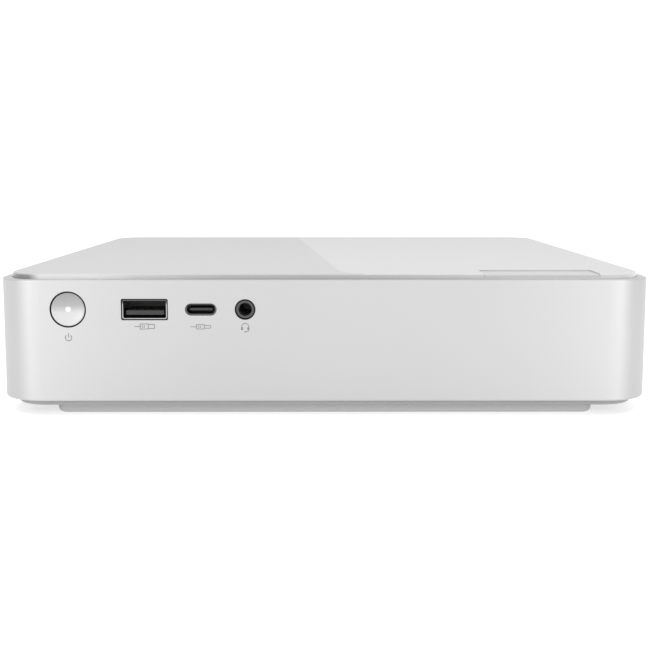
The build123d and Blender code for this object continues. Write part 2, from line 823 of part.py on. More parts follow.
def board_screws():
    return [screw(x, y, board_bottom, ledge_top - 0.5, m2) for x, y in board_screw_spots]


def cold_plate_spots():
    """Screws at the cold plate's corners."""
    dx, dy = cold_plate_size[0] / 2 - 3.0, cold_plate_size[1] / 2 - 3.0
    return [(cpu_x + sx * dx, cpu_y + sy * dy) for sx in (-1, 1) for sy in (-1, 1)]


def cpu():
    """Processor package with its bare die facing down."""
    w, d, h = cpu_size
    package = block(span(cpu_x, w - 12), span(cpu_y, d), (board_bottom - h, board_bottom))
    die = block(span(cpu_x, cpu_die[0]), span(cpu_y, cpu_die[1]), (cpu_bottom, board_bottom - h))
    return package + die


def pipe_xs():
    """The two heat pipes lie side by side in the channel between the blowers."""
    offset = pipe_radius + 0.5
    return (channel_x - offset, channel_x + offset)


def cold_plate():
    """Copper block on the die, grooved for the pipes."""
    w, d, h = cold_plate_size
    plate = block(span(cpu_x, w), span(cpu_y, d), (pipe_high_z, cpu_bottom))
    grooves = [
        along_y(Circle(pipe_radius + slip), x, pipe_high_z, cpu_y - d, cpu_y + d) for x in pipe_xs()
    ]
    holes = [post(x, y, m2[0] + slip, pipe_high_z - 1, cpu_bottom + 1) for x, y in cold_plate_spots()]
    return cut_all(plate, grooves + holes)


def cold_plate_screws():
    return [screw(x, y, pipe_high_z, board_top + 1.0, m2) for x, y in cold_plate_spots()]


def cpu_backplate():
    """Frame on the far side of the board that the cold plate's screws pull against."""
    w, d = cold_plate_size[0], cold_plate_size[1]
    frame = block(span(cpu_x, w), span(cpu_y, d), (board_top, board_top + 1.2))
    frame -= block(span(cpu_x, w - 14), span(cpu_y, d - 14), (board_top - 1, board_top + 3))
    holes = [post(x, y, m2[0] + slip, board_top - 1, board_top + 3) for x, y in cold_plate_spots()]
    return cut_all(frame, holes)


def fin_spots():
    """Centre of each set of fins: outside the bends of the pipes."""
    reach = pipe_radius + 0.5 + pipe_turn + 5.0 + fin_length / 2
    return {"left": channel_x - reach, "right": channel_x + reach}


def heat_pipes():
    """Two pipes from the cold plate, down the channel and out through the fins."""
    start = cpu_y - cold_plate_size[1] / 2 + 1.0
    drop_start = cpu_y + cold_plate_size[1] / 2 + 2.0
    drop_end = drop_start + 10.0
    turn_y = (fin_front + fin_rear) / 2
    pipes = []
    for x, fins_x, side in zip(pipe_xs(), fin_spots().values(), (-1, 1)):
        tip = fins_x + side * (fin_length / 2 + 1.0)
        route = [
            (x, start, pipe_high_z),
            (x, drop_start, pipe_high_z),
            (x, drop_end, pipe_low_z),
            (x, turn_y, pipe_low_z),
            (tip, turn_y, pipe_low_z),
        ]
        pipes.append(tube(route, pipe_radius, [pipe_bend, pipe_bend, pipe_turn]))
    return pipes


def fin_stack(x):
    """Upright fins joined by a strip along their top, with the pipe through them."""
    top = pipe_low_z + fin_height / 2
    low = pipe_low_z - fin_height / 2
    strip = block(span(x, fin_length), (fin_front, fin_rear), (top - 0.6, top))
    count = int(fin_length // fin_pitch) + 1
    fins = []
    for i in range(count):
        centre = x - fin_length / 2 + fin_thickness / 2 + i * (fin_length - fin_thickness) / (count - 1)
        fins.append(block(span(centre, fin_thickness), (fin_front, fin_rear), (low, top)))
    middle = (fin_front + fin_rear) / 2
    bore = along_x(Circle(pipe_radius + slip), middle, pipe_low_z, x - fin_length, x + fin_length)
    return join_all(strip, fins) - bore


def blower_legs(x):
    """Legs near the two rear corners of a blower at x, and one at its front."""
    reach = blower_size / 2 - 2.6
    front_leg = channel_x + math.copysign(front_leg_reach, x - channel_x)
    return [
        (x - reach, blower_y + reach),
        (x + reach, blower_y + reach),
        (front_leg, blower_y - blower_size / 2 + 0.5),
    ]


def blower_leg_spots():
    return [spot for x in blower_spots.values() for spot in blower_legs(x)]


def blower_housing(x):
    """Scroll case with an inlet in its floor, an outlet to the rear, a motor post and three legs."""
    half = blower_size / 2
    outer = Rectangle(blower_size, blower_size)
    outer = fillet(outer.vertices().sort_by(Axis.Y)[:2], blower_front_radius)
    inner = Rectangle(blower_size - 2 * blower_wall, blower_size - 2 * blower_wall)
    inner = fillet(inner.vertices().sort_by(Axis.Y)[:2], blower_front_radius - blower_wall)
    case = Pos(x, blower_y, blower_bottom) * extrude(outer, blower_height)
    room = (blower_bottom + 1.0, blower_top - 1.0)
    case -= Pos(x, blower_y, room[0]) * extrude(inner, room[1] - room[0])
    case -= block(span(x, blower_size - 12), (blower_y, blower_y + half + 1), room)
    case -= post(x, blower_y, blower_inlet_radius, blower_bottom - 1, room[0] + 0.5)
    case += post(x, blower_y, motor_radius, blower_bottom + 4.0, room[1])
    case += post(x, blower_y, spindle_radius, blower_bottom + 2.1, room[1])
    for spot in blower_legs(x):
        leg = post(*spot, leg_radius, blower_top - 0.9, board_bottom)
        case += leg - post(*spot, m2[0] + slip, board_bottom - 7, board_bottom + 1)
    return case


def blower_rotor(x):
    """Hub cup over the motor, with swept blades."""
    low, high = blower_bottom + 1.5, blower_top - 2.0
    hub = post(x, blower_y, rotor_hub_radius, low, high)
    hub -= post(x, blower_y, motor_radius + 0.5, low + 1.8, high + 1)
    hub -= post(x, blower_y, spindle_radius + slip, low + 0.4, high)
    blade_length = rotor_radius - rotor_hub_radius + 1.2
    blade = block((0, blade_length), span(0, rotor_blade_thickness), (low + 0.3, high - 0.4))
    blades = []
    for i in range(rotor_blades):
        turn = Rot(0, 0, 360 * i / rotor_blades)
        sweep_back = Rot(0, 0, -28)
        blades.append(Pos(x, blower_y, 0) * turn * Pos(rotor_hub_radius - 0.8, 0, 0) * sweep_back * blade)
    rotor = join_all(hub, blades)
    return rotor & post(x, blower_y, rotor_radius, low - 1, high + 1)


def blower_screws():
    return [screw(x, y, board_top, board_bottom - 6.0, m2) for x, y in blower_leg_spots()]


def blower_lead(x):
    """Lead from a blower's front wall up to its header on the board."""
    start_y, header_y = blower_y - blower_size / 2, blower_header_y
    lead_x = x + blower_lead_offset
    low = blower_bottom + blower_height * 0.7
    route = [(lead_x, start_y, low), (lead_x, header_y, low), (lead_x, header_y, board_bottom - 3.4)]
    return tube(route, lead_radius, [2.2])


def blower_header(x):
    header_x = span(x + blower_lead_offset, 5.0)
    return block(header_x, span(blower_header_y, 3.0), (board_bottom - 3.4, board_bottom))


def dimm_socket(x):
    """Connector along one long edge of a module, with a latch arm at each end."""
    low = board_bottom - dimm_socket_height
    y = span(dimm_y, dimm_length + 2.4)
    body = block((x - 6.0, x), y, (low, board_bottom))
    slot_z = span(board_bottom - dimm_socket_height / 2, dimm_thickness + 2 * slip)
    body -= block((x - 2.5, x + 1), span(dimm_y, dimm_length + 2 * slip), slot_z)
    for end in (-1, 1):
        edge = dimm_y + end * (dimm_length / 2 + 0.3)
        body += block((x - 1.0, x + 22.0), sorted((edge, edge + end * 1.6)), (low + 0.6, board_bottom))
    return body


def dimm_module(x):
    """Memory board with four chips on each face."""
    z = board_bottom - dimm_socket_height / 2
    module = block((x - 2.4, x + dimm_depth - 2.4), span(dimm_y, dimm_length), span(z, dimm_thickness))
    for i in range(4):
        y = dimm_y + (i - 1.5) * 15.0
        module += block((x + 9.0, x + 20.0), span(y, 9.5), span(z, dimm_thickness + 1.8))
    return module


def card_socket(x, y):
    """Edge socket for a card that runs towards -Y from it."""
    low = board_bottom - card_socket_height
    body = block(span(x, card_width + 0.4), (y, y + 8.0), (low, board_bottom))
    z = board_bottom - card_socket_height / 2
    return body - block(span(x, card_width + 2 * slip), (y - 1, y + 4.0), span(z, card_board + 2 * slip))


def card(x, y, length, chips):
    """Card with its chips on the side away from the board."""
    z = board_bottom - card_socket_height / 2
    board = block(span(x, card_width), (y - length + 3.8, y + 3.8), span(z, card_board))
    board -= post(x, y - length + 3.8, 1.8, z - 1, z + 1)
    for offset, chip in chips:
        board += block(span(x, 14.0), span(y - offset, chip), (z - card_board / 2 - 1.2, z))
    return board


def card_pillar(x, y, length):
    """Threaded pillar at the card's free end, and the screw in it."""
    z = board_bottom - card_socket_height / 2 + card_board / 2
    spot = (x, y - length + 3.8)
    pillar = post(*spot, 2.6, z, board_bottom) - post(*spot, m2[0] + slip, z - 1, board_bottom - 0.4)
    z_head = z - card_board
    return pillar, screw(*spot, z_head, board_bottom - 0.5, m2)


def coin_cell_holder():
    """Cup that holds the clock's cell against the board."""
    low = board_bottom - coin_cell_height - 1.2
    cup = post(coin_x, coin_y, coin_cell_radius + 1.4, low, board_bottom)
    cup -= post(coin_x, coin_y, coin_cell_radius + slip, low - 1, board_bottom - 1.2)
    return cup - block(span(coin_x, 12), (coin_y, coin_y + 20), (low - 1, board_bottom - 1.2))


def coin_cell():
    low = board_bottom - coin_cell_height - 1.2
    return post(coin_x, coin_y, coin_cell_radius, low, board_bottom - 1.2)


def choke_row():
    """Power chokes beside the processor."""
    x = cpu_x + cold_plate_size[0] / 2 + 5.0
    return [
        block(span(x, choke_width), span(cpu_y + (i - 2.5) * 7.0, 6.2), (board_bottom - 3.0, board_bottom))
        for i in range(6)
    ]


def capacitor_row():
    """Polymer capacitors beside the chokes."""
    x = cpu_x + cold_plate_size[0] / 2 + 13.0
    return [
        post(x, cpu_y + (i - 1) * 8.5, 3.1, board_bottom - 6.0, board_bottom) for i in range(4)
    ]


def chip_group():
    """The larger chips on the board."""
    spots = [
        (board_left + 26.0, blower_y + 4.0, 13.0, 1.4),
        (channel_x - 22.0, dimm_y - 34.0, 9.0, 1.2),
        (board_right - 14.0, blower_y + blower_size / 2 - 13.5, 12.0, 1.4),
        (jack_x + 14.0, board_front + 9.0, 7.0, 1.0),
    ]
    return [block(span(x, s), span(y, s), (board_bottom - h, board_bottom)) for x, y, s, h in spots]


# ---------------------------------------------------------------- radio
def antennas():
    """Two strips on the inside of the band, one on the left wall and one on the front."""
    z = (band_bottom + 14.0, band_bottom + 22.0)
    side_strip = block((left + wall, left + wall + 0.8), (front + 40, front + 80), z)
    front_strip = block((channel_x + 30, channel_x + 70), (front_inner, front_inner + 0.8), z)
    return [side_strip, front_strip]


def antenna_leads():
    """Coaxial leads from the radio card to the two antennas."""
    card_z = board_bottom - card_socket_height / 2 - card_board / 2 - 1.2
    low = card_z - 5.0
    z = band_bottom + 18.0
    start_y = radio_y - radio_length + 12.0
    side_x = left + wall + 0.8
    side_y = front + 70.0
    to_side = [
        (radio_x - 5.0, start_y, card_z),
        (radio_x - 5.0, start_y, low),
        (side_x + 9.0, side_y, low),
        (side_x + 5.0, side_y, z),
        (side_x, side_y, z),
    ]
    front_y = front_inner + 0.8
    front_x = channel_x + 36.0
    to_front = [
        (radio_x + 5.0, start_y, card_z),
        (radio_x + 5.0, start_y, low),
        (radio_x + 5.0, front_y + 22.0, low - 1.0),
        (front_x, front_y + 8.0, z + 1.0),
        (front_x, front_y, z),
    ]
    return [tube(to_side, lead_radius, [1.8] * 3), tube(to_front, lead_radius, [1.8, 5.0, 3.0])]


# ---------------------------------------------------------------- mains supply
def supply_screw_spots():
    return [
        (supply_x + sx * (supply_width / 2 - 7.0), y)
        for sx in (-1, 1)
        for y in (supply_front + 8.0, supply_rear - 8.0)
    ]


def supply_case():
    """Folded steel box with vents in its sides, hung from the mid plate."""
    box = block((supply_left, supply_right), (supply_front, supply_rear), (supply_bottom, ledge_top))
    t = supply_sheet
    x, y = (supply_left + t, supply_right - t), (supply_front + t, supply_rear - t)
    box -= block(x, y, (supply_bottom + t, ledge_top - t))
    slot = SlotOverall(14.0, 2.4)
    middle = (supply_bottom + ledge_top) / 2
    slot_ys = [supply_front + 14 + i * 6.0 for i in range(int((supply_length - 24) // 6.0))]
    cuts = [
        along_x(slot, slot_y, middle, supply_left - 1, supply_right + 1)
        for slot_y in slot_ys
        if abs(slot_y - power_y) > 6.0
    ]
    cuts += [post(x, y, m2[0] + slip, ledge_top - 2, ledge_top + 1) for x, y in supply_screw_spots()]
    cable_exit = Circle(cable_radius + slip)
    cuts.append(along_x(cable_exit, power_y, supply_cable_z, supply_left - 1, supply_left + t + 0.5))
    exit_width = 2 * (inlet_lead_pitch + inlet_lead_radius) + 1.2
    lead_exit = block(span(inlet_x, exit_width), (supply_rear - t - 1, supply_rear + 1), span(inlet_z, 6.0))
    cuts.append(lead_exit)
    case = cut_all(box, cuts)
    pillars = [
        post(x, y, 2.2, supply_bottom + t, supply_board_bottom)
        for x in (supply_left + 6.0, supply_right - 6.0)
        for y in (supply_front + 6.0, supply_rear - 6.0)
    ]
    return join_all(case, pillars)


def supply_screws():
    return [screw(x, y, mid_plate_top, ledge_top - 2.5, m2) for x, y in supply_screw_spots()]


def supply_board():
    t = supply_sheet + seat_gap
    return block(
        (supply_left + t, supply_right - t),
        (supply_front + t, supply_rear - t),
        (supply_board_bottom, supply_board_bottom + board_thickness),
    )


def supply_transformer():
    """Ferrite core with its winding between the two cheeks."""
    base = supply_board_bottom + board_thickness
    y = (supply_front + supply_rear) / 2 + 4.0
    core_width = supply_width - 18.0
    core = block(span(supply_x, core_width), span(y, 20.0), (base, base + 16.0))
    core -= block(span(supply_x, core_width - 8.0), span(y, 22.0), (base + 3.0, base + 13.0))
    winding = block(span(supply_x, core_width - 8.2), span(y, 26.0), (base + 3.0, base + 13.0))
    return [core, fillet(winding.edges().filter_by(Axis.Y), 2.0)]


def supply_capacitors():
    """Bulk capacitor lying on the board and two output capacitors standing on it."""
    base = supply_board_bottom + board_thickness
    bulk = along_y(Circle(8.0), supply_x + 6.0, base + 8.0, supply_rear - 39.0, supply_rear - 14.0)
    small = [post(supply_x - 8.0, supply_front + 16.0 + i * 12.0, 4.5, base, base + 13.0) for i in range(2)]
    return [bulk, *small]


def supply_heat_spreader():
    """Upright aluminium plate along the board."""
    base = supply_board_bottom + board_thickness
    y = (supply_front + 40, supply_rear - 20)
    return block((supply_left + 4.0, supply_left + 6.0), y, (base, base + 15.0))


def supply_cable():
    """Cable from the supply's side to the plug under the board."""
    route = [
        (supply_left + supply_sheet, power_y, supply_cable_z),
        (power_x, power_y, supply_cable_z),
        (power_x, power_y, board_bottom - 10.0),
    ]
    return tube(route, cable_radius, [4.0])


def power_header():
    """Board header and, on it, the plug of the supply's cable."""
    header = block(span(power_x, 8.0), span(power_y, 12.0), (board_bottom - 4.0, board_bottom))
    plug = block(span(power_x, 7.4), span(power_y, 11.4), (board_bottom - 10.0, board_bottom - 4.0))
    return header, plug


def inlet_leads():
    """Live, neutral and earth between the inlet's back and the supply."""
    ends = (supply_rear - supply_sheet - 3.0, rear_inner + 1.6 - inlet_depth - 3.0)
    xs = [inlet_x + i * inlet_lead_pitch for i in (-1, 0, 1)]
    return [along_y(Circle(inlet_lead_radius), x, inlet_z, *ends) for x in xs]


# ---------------------------------------------------------------- nodes
def build():
    """Every node's name with its solids."""
    hdmi_sleeve, hdmi_insert = hooded_port(hdmi_size, (1.9, 1.9), (11.0, 1.1, 0.5))
    display_sleeve, display_insert = hooded_port(display_size, (0.05, 2.4), (12.4, 1.2, 0.4))
    net_body, net_comb = ethernet_jack()
    inlet_shell, inlet_blades = mains_inlet()
    header, plug = power_header()
    cards = [
        (ssd_x, ssd_y, ssd_length, [(12.0, 13.0), (38.0, 18.0), (62.0, 18.0)]),
        (radio_x, radio_y, radio_length, [(12.0, 15.0)]),
    ]
    pillars = [card_pillar(x, y, length) for x, y, length, _ in cards]
    usb_a_rear_shells = [turned_to_rear(usb_a_shell(), x) for x in rear_ports["usb_a"]]
    usb_a_rear_inserts = [turned_to_rear(usb_a_insert(), x) for x in rear_ports["usb_a"]]
    contact_strips = [at_front(strip, usb_a_x) for strip in usb_a_contacts()]
    for x in rear_ports["usb_a"]:
        contact_strips += [turned_to_rear(strip, x) for strip in usb_a_contacts()]
    dimm_xs = (dimm_x, dimm_x + dimm_pitch)
    return {
        "side_frame": side_frame(),
        "top_cover": top_cover(),
        "top_cover_badge": top_cover_badge(),
        "bottom_cover": bottom_cover(),
        "front_foot": foot(foot_spots()[0]),
        "rear_foot": foot(foot_spots()[1]),
        "bottom_cover_screws": [
            screw(x, y, floor_z + screw_head_recess, cover_seat + cover_boss_height - 2.0, m3)
            for x, y in cover_screw_spots
        ],
        "top_cover_screws": [
            screw(x, y, ledge_bottom, panel_top - panel_thickness + panel_boss_depth - 0.3, m2)
            for x, y in panel_screw_spots
        ],
        "mid_plate": mid_plate(),
        "rear_plate": rear_plate(),
        "power_button": power_button(),
        "button_carrier": button_carrier(),
        "button_light_pipe": button_light_pipe(),
        "button_guide": button_guide(),
        "indicator_lamp": indicator_lamp(),
        "switch_body": switch_body(),
        "switch_plunger": switch_plunger(),
        "front_usb_a_shell": at_front(usb_a_shell(), usb_a_x),
        "front_usb_a_insert": at_front(usb_a_insert(), usb_a_x),
        "usb_a_contacts": contact_strips,
        "front_usb_c_shell": at_front(usb_c_shell(), usb_c_x),
        "front_usb_c_insert": at_front(usb_c_insert(), usb_c_x),
        "audio_jack": at_front(audio_jack(), jack_x),
        "rear_usb_a_shells": usb_a_rear_shells,
        "rear_usb_a_inserts": usb_a_rear_inserts,
        "rear_usb_c_shell": turned_to_rear(usb_c_shell(), rear_ports["usb_c"]),
        "rear_usb_c_insert": turned_to_rear(usb_c_insert(), rear_ports["usb_c"]),
        "hdmi_shell": turned_to_rear(hdmi_sleeve, rear_ports["hdmi"]),
        "hdmi_insert": turned_to_rear(hdmi_insert, rear_ports["hdmi"]),
        "display_socket_shell": turned_to_rear(display_sleeve, rear_ports["display"]),
        "display_socket_insert": turned_to_rear(display_insert, rear_ports["display"]),
        "ethernet_jack": turned_to_rear(net_body, rear_ports["ethernet"]),
        "ethernet_contacts": [turned_to_rear(strip, rear_ports["ethernet"]) for strip in net_comb],
        "mains_inlet": inlet_shell,
        "mains_inlet_blades": inlet_blades,
        "motherboard": motherboard(),
        "board_standoffs": board_standoffs() + [pillar for pillar, _ in pillars],
        "inner_screws": (
            board_screws() + cold_plate_screws() + blower_screws() + supply_screws() + rear_plate_screws()
            + [fastener for _, fastener in pillars]
        ),
        "processor": cpu(),
        "cold_plate": cold_plate(),
        "processor_backplate": cpu_backplate(),
        "heat_pipes": heat_pipes(),
        "fin_stacks": [fin_stack(x) for x in fin_spots().values()],
        "left_blower_housing": blower_housing(blower_spots["left"]),
        "left_blower_rotor": blower_rotor(blower_spots["left"]),
        "right_blower_housing": blower_housing(blower_spots["right"]),
        "right_blower_rotor": blower_rotor(blower_spots["right"]),
        "memory_sockets": [dimm_socket(x) for x in dimm_xs],
        "memory_modules": [dimm_module(x) for x in dimm_xs],
        "card_sockets": [card_socket(x, y) for x, y, _, _ in cards],
        "storage_and_radio_cards": [card(*spot) for spot in cards],
        "coin_cell_and_holder": [coin_cell_holder(), coin_cell()],
        "board_components": choke_row() + capacitor_row() + chip_group(),
        "headers": [header] + [blower_header(x) for x in blower_spots.values()],
        "antennas_and_leads": antennas() + antenna_leads(),
        "supply_case": supply_case(),
        "supply_board": [
            supply_board(), *supply_transformer(), *supply_capacitors(), supply_heat_spreader()
        ],
        "supply_cable": [supply_cable(), plug],
        "leads": inlet_leads() + [blower_lead(x) for x in blower_spots.values()],
    }


def main():
    os.makedirs("parts", exist_ok=True)
    for name, shape in build().items():
        pieces = shape if isinstance(shape, list) else [shape]
        solids = [solid for piece in pieces for solid in piece.solids()]
        export_step(Compound(solids), f"parts/{name}.step")


main()
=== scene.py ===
import math

import bmesh
import bpy
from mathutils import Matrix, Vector


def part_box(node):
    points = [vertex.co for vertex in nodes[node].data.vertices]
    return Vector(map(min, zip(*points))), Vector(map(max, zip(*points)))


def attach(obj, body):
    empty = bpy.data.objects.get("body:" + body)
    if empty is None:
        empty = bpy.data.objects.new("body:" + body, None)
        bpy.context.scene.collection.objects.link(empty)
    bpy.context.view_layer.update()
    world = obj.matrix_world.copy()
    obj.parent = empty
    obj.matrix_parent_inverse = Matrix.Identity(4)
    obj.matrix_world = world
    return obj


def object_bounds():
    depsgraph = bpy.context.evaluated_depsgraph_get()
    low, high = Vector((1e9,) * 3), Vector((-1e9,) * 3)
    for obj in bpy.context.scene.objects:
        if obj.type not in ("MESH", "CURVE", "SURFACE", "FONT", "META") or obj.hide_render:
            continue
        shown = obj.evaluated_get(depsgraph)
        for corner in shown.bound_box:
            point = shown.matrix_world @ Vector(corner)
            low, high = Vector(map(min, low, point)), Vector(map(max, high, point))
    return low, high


# A silver one-litre desktop computer on a pale floor, seen from its front. Metres throughout.

MM = 0.001

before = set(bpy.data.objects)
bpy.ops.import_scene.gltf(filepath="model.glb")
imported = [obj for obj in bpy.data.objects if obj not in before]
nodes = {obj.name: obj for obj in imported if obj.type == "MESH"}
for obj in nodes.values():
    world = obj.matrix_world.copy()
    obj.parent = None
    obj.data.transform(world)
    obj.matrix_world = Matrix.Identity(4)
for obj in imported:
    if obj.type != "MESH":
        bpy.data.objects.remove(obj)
cad_low, cad_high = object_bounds()


# ---------------------------------------------------------------- places taken from the frame
def middle(node):
    """Centre of a CAD node's box."""
    low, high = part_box(node)
    return (low + high) / 2


FRONT = cad_low[1]
TOP = cad_high[2]
BAND_LOW, BAND_TOP = (corner.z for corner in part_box("side_frame"))
PANEL_LOW, PANEL_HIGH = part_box("top_cover")
BUTTON = middle("power_button")
PORT_Z = BUTTON.z


# ---------------------------------------------------------------- sizes and tones
def grey(tone):
    return (tone, tone, tone)


# Band
CORNER = 14.0 * MM
COAT_DARK, COAT_LIGHT = grey(0.444), grey(0.468)
FLAKE_GRAIN = 6000.0
COAT_DEPTH = (0.08 * MM, 0.16 * MM)   # into a hole's wall, where the coat thins out to nothing
COAT_RIM = 1.2 * MM                   # coated all through above this, from the rim down
COAT_EDGE = 0.3 * MM                  # and below this, from the lower edge up
LOW_SHADE_SHARE = 0.98                       # painted shade: brightness at the band's lower edge, as a share
END_HIGHLIGHT_SHARE = 1.16                      # painted highlight: brightness at the ends of the front and rear faces
END_REACH = 86.0 * MM
END_FADE = 5.0 * MM
END_SHARPNESS = 3.3
CORNER_HIGHLIGHT_SHARE = 0.10                   # of the painted highlight at the ends that is left round the corners
# Near-black inside the band: the unpainted plastic, and painted shade in the holes.
UNPAINTED_AND_SHADE_TONE = (0.045, 0.045, 0.047)

# Top panel
LINE_X = -3.6 * MM                    # where the slanting line crosses the middle of the panel
LINE_LEAN = 0.0943
LINE_BLUR = 0.25 * MM
FLARE_START = 1.4 * MM
FLARE_LENGTH = 2.6 * MM
FLARE_REACH = 4.2 * MM
RIB_PITCH = 0.6 * MM
REAR_SHADE_SHARE = 0.065                  # painted shade: how much darker the panel's rear edge is than its front
REAR_SHADE_START = 40.0 * MM             # behind the front edge
LEFT_DARK, LEFT_LIGHT = grey(0.44), grey(0.50)
RIGHT_DARK, RIGHT_LIGHT = grey(0.515), grey(0.545)
# Share of the panel's width from its left end, and the polished edge's painted tone there: painted
# reflection and shade.
EDGE_REFLECTION_TONES = [
    (0.0, 0.26), (0.02, 0.20), (0.038, 0.20), (0.055, 0.60), (0.14, 0.60), (0.21, 0.48), (0.34, 0.38),
    (0.5, 0.36), (0.62, 0.40), (0.76, 0.46), (0.79, 0.50), (0.97, 0.50), (0.985, 0.62),
]

# Smaller pieces
BADGE_DARK, BADGE_LIGHT = grey(0.45), grey(0.53)
BADGE_LIP, BADGE_FOLD = grey(0.41), grey(0.40)
WEAVE_PITCH = 0.9 * MM
# Painted light and shade on the button: lit tone low down, shaded tone towards its top.
BUTTON_LIT, BUTTON_SHADED = grey(0.515), grey(0.27)
BUTTON_SHADE_STEP = (-1.0 * MM, 1.2 * MM)    # heights about its axis, over which the painted shade darkens it most
BUTTON_SHADE_FADE = (1.2 * MM, 4.8 * MM)     # and the rest of the way to its top
RING_PITCH = 0.18 * MM
# Painted light on the feet: shaded tone up high, floor-lit tone low down.
FOOT_SHADED, FOOT_FLOOR_LIT = grey(0.30), grey(0.41)
METAL_GRAIN, METAL_TINT, METAL_DEPTH = 180.0, 0.10, 0.01 * MM
ALONG_X, ALONG_Y = (1.0, 30.0, 30.0), (30.0, 1.0, 30.0)   # noise scales of drawn metal
TRACK_PITCH_X, TRACK_PITCH_Y = 1.3 * MM, 1.7 * MM
TRACK_WANDER = 6.0 * MM
PRINT_DEPTH = 0.02 * MM

# Light
WORLD_STRENGTH = 1.02
FLOOR_GLOW = 0.56
OVERHEAD_POWER = 6.0
FILL_POWER = 3.0
STRIP_POWER = 2.6
STRIP_WIDTH = 0.5
STRIP_SIDE, STRIP_AHEAD = 0.85, 0.80

# Camera
LENS = 58.45
CAMERA_X = -0.66 * MM
CAMERA_BACK = 306.3 * MM              # in front of the front face
CAMERA_RISE = 28.77 * MM              # above the top panel
CAMERA_DIP = 7.0                      # degrees below the horizon
CAMERA_SHIFT = -0.0312                # share of the frame that the view is shifted up
CAMERA_TURN = 0.13                    # degrees to the right


# ---------------------------------------------------------------- node-tree helpers
class Shade:
    """A new Principled material and short ways to add nodes to it."""

    def __init__(self, name, colour, roughness, metallic=0.0, **constants):
        self.material = bpy.data.materials.new(name)
        self.material.use_nodes = True
        self.tree = self.material.node_tree
        self.bsdf = self.tree.nodes["Principled BSDF"]
        self.colour = colour
        self.set("Base Color", (*colour, 1.0))
        self.set("Roughness", roughness)
        self.set("Metallic", metallic)
        for key, value in constants.items():
            self.set(key.replace("_", " "), value)
        self.coords = self.node("ShaderNodeTexCoord").outputs["Object"]

    def set(self, socket, value):
        self.bsdf.inputs[socket].default_value = value

    def node(self, kind, **settings):
        made = self.tree.nodes.new(kind)
        for key, value in settings.items():
            setattr(made, key, value)
        return made

    def wire(self, source, target):
        self.tree.links.new(source, target)

    def feed(self, target, value):
        """Links a socket, or sets a plain number or vector."""
        if isinstance(value, bpy.types.NodeSocket):
            self.wire(value, target)
        else:
            target.default_value = value

    def math(self, operation, a, b=0.0, clamp=False):
        made = self.node("ShaderNodeMath", operation=operation, use_clamp=clamp)
        self.feed(made.inputs[0], a)
        self.feed(made.inputs[1], b)
        return made.outputs[0]

    def times(self, a, b):
        return self.math("MULTIPLY", a, b)

    def plus(self, a, b, clamp=False):
        return self.math("ADD", a, b, clamp)

    def wave(self, value, pitch):
        """From -1 to 1 and back over each pitch."""
        return self.math("SINE", self.times(value, 2 * math.pi / pitch))

    def colour_from(self, source):
        self.wire(source, self.bsdf.inputs["Base Color"])

    def axis(self, name):
        split = self.node("ShaderNodeSeparateXYZ")
        self.wire(self.coords, split.inputs[0])
        return split.outputs[name]

    def facing(self, name):
        """One component of the surface's normal in the object's own frame."""
        split = self.node("ShaderNodeSeparateXYZ")
        self.wire(self.node("ShaderNodeTexCoord").outputs["Normal"], split.inputs[0])
        return split.outputs[name]

    def noise(self, scale, detail=3.0, stretch=(1.0, 1.0, 1.0), roughness=0.5):
        mapping = self.node("ShaderNodeMapping")
        mapping.inputs["Scale"].default_value = stretch
        self.wire(self.coords, mapping.inputs["Vector"])
        noise = self.node("ShaderNodeTexNoise")
        noise.inputs["Scale"].default_value = scale
        noise.inputs["Detail"].default_value = detail
        noise.inputs["Roughness"].default_value = roughness
        self.wire(mapping.outputs[0], noise.inputs["Vector"])
        return noise.outputs["Fac"]

    def spread(self, value, low, high, source=(0.3, 0.7)):
        made = self.node("ShaderNodeMapRange")
        self.wire(value, made.inputs["Value"])
        made.inputs["From Min"].default_value, made.inputs["From Max"].default_value = source
        made.inputs["To Min"].default_value, made.inputs["To Max"].default_value = low, high
        return made.outputs[0]

    def mix(self, factor, a, b):
        made = self.node("ShaderNodeMix", data_type="RGBA")
        self.feed(made.inputs["Factor"], factor)
        for socket, value in ((made.inputs[6], a), (made.inputs[7], b)):
            self.feed(socket, value if isinstance(value, bpy.types.NodeSocket) else (*value, 1.0))
        return made.outputs[2]

    def tint(self, factor, amount):
        """Varies the base colour by amount each way as the factor goes from 0 to 1."""
        dark = tuple(c * (1 - amount) for c in self.colour)
        light = tuple(min(1.0, c * (1 + amount)) for c in self.colour)
        self.colour_from(self.mix(factor, dark, light))

    def bump(self, height, strength, distance):
        made = self.node("ShaderNodeBump")
        made.inputs["Strength"].default_value = strength
        made.inputs["Distance"].default_value = distance
        self.wire(height, made.inputs["Height"])
        self.wire(made.outputs[0], self.bsdf.inputs["Normal"])


def grained(
    name, colour, roughness, metallic=0.0, grain=2500.0, tint=0.06, depth=0.02 * MM, stretch=(1, 1, 1),
    **constants,
):
    """A finish with a fine grain in its colour, roughness and surface, and a slow change across it."""
    shade = Shade(name, colour, roughness, metallic, **constants)
    fine = shade.noise(grain, 4.0, stretch)
    slow = shade.noise(35.0, 2.0)
    both = shade.plus(shade.times(fine, 0.6), shade.times(slow, 0.4))
    shade.tint(shade.spread(both, 0.0, 1.0), tint)
    rough = shade.spread(fine, max(0.02, roughness - 0.06), min(1.0, roughness + 0.06))
    shade.wire(rough, shade.bsdf.inputs["Roughness"])
    shade.bump(fine, 0.5, depth)
    return shade


def plain(*details, **constants):
    """The material of a grained finish that needs nothing more."""
    return grained(*details, **constants).material


